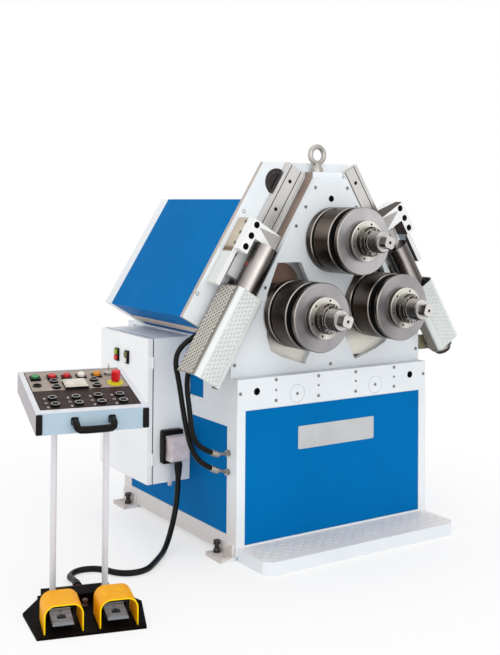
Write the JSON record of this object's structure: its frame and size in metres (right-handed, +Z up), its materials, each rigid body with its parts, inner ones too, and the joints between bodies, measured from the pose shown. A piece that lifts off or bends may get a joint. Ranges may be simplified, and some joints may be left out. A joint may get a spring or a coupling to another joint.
{
  "type": "hydraulic roll bender",
  "caption": "Three-roll profile bender: rolls on sliding lower shafts and a fixed upper shaft, slanted side guides, electrical cabinet, and a console with pedals on a cable.",
  "frame": {"origin": "on the floor, at the centre of the four floor anchor holes under the base", "axes": "+X to the machine's right as the operator faces it, +Y to the rear, +Z up; the roll axes run along Y"},
  "size_m": [1.9985, 1.2868, 1.582],
  "materials": {
    "white_paint": "satin",
    "blue_paint": "satin",
    "step_chequer": "satin, chequer top",
    "black_steel": "satin",
    "zinc_steel": "zinc plated",
    "shaft_steel": "turned",
    "roll_steel": "hardened, dark rims and ground faces",
    "slide_steel": "machined",
    "cylinder_steel": "honed",
    "rail_steel": "ground",
    "carriage_steel": "milled",
    "chequer_aluminium": "chequer plate",
    "unit_paint": "satin",
    "door_paint": "satin",
    "green_plastic": "gloss",
    "lime_plastic": "gloss",
    "red_plastic": "gloss",
    "socket_black": "matt",
    "plug_grey": "cast, grey",
    "hose_rubber": "matt",
    "console_aluminium": "anodised",
    "panel_print": "printed sheet",
    "indicator_mix": "mixed lamps and bezels",
    "jog_black": "matt",
    "key_metal": "plain",
    "stand_paint": "satin",
    "guard_yellow": "gloss",
    "pedal_steel": "plain"
  },
  "bodies": {
    "machine": {"base_frame": "white_paint", "head_housing": "white_paint", "lower_front_plate": "white_paint", "head_front_plate": "white_paint", "hood_rear_frame": "white_paint", "cabinet_body": "white_paint", "base_panels": "blue_paint", "hood_panels": "blue_paint", "step_platform": "step_chequer", "levelling_feet": "black_steel", "console_fittings": "black_steel", "lifting_eye": "zinc_steel", "hose_fittings": "zinc_steel", "upper_roll_drive": "slide_steel", "roll_cylinders": "cylinder_steel", "guide_cylinders": "cylinder_steel", "guide_rails": "rail_steel", "guide_covers": "chequer_aluminium", "hydraulic_unit": "unit_paint", "connector_socket": "socket_black", "connector_plug": "plug_grey", "guide_hoses": "hose_rubber", "control_cable": "hose_rubber", "console_housing": "console_aluminium", "console_panel": "panel_print", "panel_indicators": "indicator_mix", "stand_frame": "stand_paint", "pedal_guards": "guard_yellow"},
    "upper_roll": {"upper_roll_shaft": "shaft_steel", "upper_roll_set": "roll_steel"},
    "left_slide": {"left_roll_slide": "slide_steel"},
    "left_roll": {"left_roll_shaft": "shaft_steel", "left_roll_set": "roll_steel"},
    "right_slide": {"right_roll_slide": "slide_steel"},
    "right_roll": {"right_roll_shaft": "shaft_steel", "right_roll_set": "roll_steel"},
    "left_guide": {"left_guide_carriage": "carriage_steel"},
    "right_guide": {"right_guide_carriage": "carriage_steel"},
    "door": {"cabinet_door": "door_paint"},
    "door_start": {"door_start_button": "green_plastic"},
    "door_stop": {"door_stop_button": "red_plastic"},
    "door_reset": {"door_reset_button": "lime_plastic"},
    "pedal_left": {"left_pedal": "pedal_steel"},
    "pedal_right": {"right_pedal": "pedal_steel"},
    "stop_mushroom": {"emergency_stop": "red_plastic"},
    "key": {"key_switch": "key_metal"},
    "console_start": {"console_start_button": "green_plastic"},
    "console_stop": {"console_stop_button": "red_plastic"},
    "roller_speed_up_cap": {"roller_speed_up_button": "jog_black"},
    "roller_speed_down_cap": {"roller_speed_down_button": "jog_black"},
    "program_forward_cap": {"program_forward_button": "jog_black"},
    "program_back_cap": {"program_back_button": "jog_black"},
    "left_roll_up_cap": {"left_roll_up_button": "jog_black"},
    "left_roll_down_cap": {"left_roll_down_button": "jog_black"},
    "left_guide_up_cap": {"left_guide_up_button": "jog_black"},
    "left_guide_down_cap": {"left_guide_down_button": "jog_black"},
    "right_guide_up_cap": {"right_guide_up_button": "jog_black"},
    "right_guide_down_cap": {"right_guide_down_button": "jog_black"},
    "right_roll_up_cap": {"right_roll_up_button": "jog_black"},
    "right_roll_down_cap": {"right_roll_down_button": "jog_black"}
  },
  "joints": [
    {"name": "upper_roll_spin", "type": "hinge", "parent": "machine", "child": "upper_roll", "pos_m": [0, -0.5, 1.195], "axis": [0, 1, 0], "continuous": true},
    {"name": "left_slide_travel", "type": "slide", "parent": "machine", "child": "left_slide", "axis": [0, 0, 1], "range_m": [-0.095, 0.095]},
    {"name": "right_slide_travel", "type": "slide", "parent": "machine", "child": "right_slide", "axis": [0, 0, 1], "range_m": [-0.115, 0.075]},
    {"name": "left_roll_spin", "type": "hinge", "parent": "left_slide", "child": "left_roll", "pos_m": [-0.199, -0.5, 0.91], "axis": [0, 1, 0], "continuous": true},
    {"name": "right_roll_spin", "type": "hinge", "parent": "right_slide", "child": "right_roll", "pos_m": [0.199, -0.5, 0.93], "axis": [0, 1, 0], "continuous": true},
    {"name": "left_guide_travel", "type": "slide", "parent": "machine", "child": "left_guide", "axis": [0.5208, 0, 0.8537], "range_m": [0, 0.24]},
    {"name": "right_guide_travel", "type": "slide", "parent": "machine", "child": "right_guide", "axis": [-0.5208, 0, 0.8537], "range_m": [-0.078, 0.162]},
    {"name": "cabinet_door_hinge", "type": "hinge", "parent": "machine", "child": "door", "pos_m": [-0.649, -0.1205, 0.5], "axis": [0, 0, 1], "range_deg": [0, 95]},
    {"name": "door_start_press", "type": "slide", "parent": "door", "child": "door_start", "axis": [1, 0, 0], "range_m": [0, 0.003], "stiffness_N_per_m": 500, "springref_m": -0.002},
    {"name": "door_stop_press", "type": "slide", "parent": "door", "child": "door_stop", "axis": [1, 0, 0], "range_m": [0, 0.003], "stiffness_N_per_m": 500, "springref_m": -0.002},
    {"name": "door_reset_press", "type": "slide", "parent": "door", "child": "door_reset", "axis": [1, 0, 0], "range_m": [0, 0.003], "stiffness_N_per_m": 500, "springref_m": -0.002},
    {"name": "pedal_left_press", "type": "hinge", "parent": "machine", "child": "pedal_left", "pos_m": [-1.24483, -0.62625, 0.034], "axis": [0.9613, -0.2756, 0], "range_deg": [0, 7], "stiffness_Nm_per_rad": 30, "springref_deg": -6.88},
    {"name": "pedal_right_press", "type": "hinge", "parent": "machine", "child": "pedal_right", "pos_m": [-1.0795, -0.67365, 0.034], "axis": [0.9613, -0.2756, 0], "range_deg": [0, 7], "stiffness_Nm_per_rad": 30, "springref_deg": -6.88},
    {"name": "emergency_stop_press", "type": "slide", "parent": "machine", "child": "stop_mushroom", "axis": [0.0421, 0.2087, -0.9771], "range_m": [0, 0.005], "stiffness_N_per_m": 900, "springref_m": -0.003},
    {"name": "key_turn", "type": "hinge", "parent": "machine", "child": "key", "pos_m": [-0.97554, -0.40026, 0.74025], "axis": [-0.0421, -0.2087, 0.9771], "range_deg": [0, 90]},
    {"name": "console_start_press", "type": "slide", "parent": "machine", "child": "console_start", "axis": [0.0421, 0.2087, -0.9771], "range_m": [0, 0.0035], "stiffness_N_per_m": 500, "springref_m": -0.002},
    {"name": "console_stop_press", "type": "slide", "parent": "machine", "child": "console_stop", "axis": [0.0421, 0.2087, -0.9771], "range_m": [0, 0.0035], "stiffness_N_per_m": 500, "springref_m": -0.002},
    {"name": "roller_speed_up_cap_press", "type": "slide", "parent": "machine", "child": "roller_speed_up_cap", "axis": [0.0421, 0.2087, -0.9771], "range_m": [0, 0.003], "stiffness_N_per_m": 500, "springref_m": -0.002},
    {"name": "roller_speed_down_cap_press", "type": "slide", "parent": "machine", "child": "roller_speed_down_cap", "axis": [0.0421, 0.2087, -0.9771], "range_m": [0, 0.003], "stiffness_N_per_m": 500, "springref_m": -0.002},
    {"name": "program_forward_cap_press", "type": "slide", "parent": "machine", "child": "program_forward_cap", "axis": [0.0421, 0.2087, -0.9771], "range_m": [0, 0.003], "stiffness_N_per_m": 500, "springref_m": -0.002},
    {"name": "program_back_cap_press", "type": "slide", "parent": "machine", "child": "program_back_cap", "axis": [0.0421, 0.2087, -0.9771], "range_m": [0, 0.003], "stiffness_N_per_m": 500, "springref_m": -0.002},
    {"name": "left_roll_up_cap_press", "type": "slide", "parent": "machine", "child": "left_roll_up_cap", "axis": [0.0421, 0.2087, -0.9771], "range_m": [0, 0.003], "stiffness_N_per_m": 500, "springref_m": -0.002},
    {"name": "left_roll_down_cap_press", "type": "slide", "parent": "machine", "child": "left_roll_down_cap", "axis": [0.0421, 0.2087, -0.9771], "range_m": [0, 0.003], "stiffness_N_per_m": 500, "springref_m": -0.002},
    {"name": "left_guide_up_cap_press", "type": "slide", "parent": "machine", "child": "left_guide_up_cap", "axis": [0.0421, 0.2087, -0.9771], "range_m": [0, 0.003], "stiffness_N_per_m": 500, "springref_m": -0.002},
    {"name": "left_guide_down_cap_press", "type": "slide", "parent": "machine", "child": "left_guide_down_cap", "axis": [0.0421, 0.2087, -0.9771], "range_m": [0, 0.003], "stiffness_N_per_m": 500, "springref_m": -0.002},
    {"name": "right_guide_up_cap_press", "type": "slide", "parent": "machine", "child": "right_guide_up_cap", "axis": [0.0421, 0.2087, -0.9771], "range_m": [0, 0.003], "stiffness_N_per_m": 500, "springref_m": -0.002},
    {"name": "right_guide_down_cap_press", "type": "slide", "parent": "machine", "child": "right_guide_down_cap", "axis": [0.0421, 0.2087, -0.9771], "range_m": [0, 0.003], "stiffness_N_per_m": 500, "springref_m": -0.002},
    {"name": "right_roll_up_cap_press", "type": "slide", "parent": "machine", "child": "right_roll_up_cap", "axis": [0.0421, 0.2087, -0.9771], "range_m": [0, 0.003], "stiffness_N_per_m": 500, "springref_m": -0.002},
    {"name": "right_roll_down_cap_press", "type": "slide", "parent": "machine", "child": "right_roll_down_cap", "axis": [0.0421, 0.2087, -0.9771], "range_m": [0, 0.003], "stiffness_N_per_m": 500, "springref_m": -0.002}
  ],
  "couplings": [
    {"joint": "left_roll_spin", "follows": "upper_roll_spin", "ratio": -1},
    {"joint": "right_roll_spin", "follows": "upper_roll_spin", "ratio": -1}
  ]
}
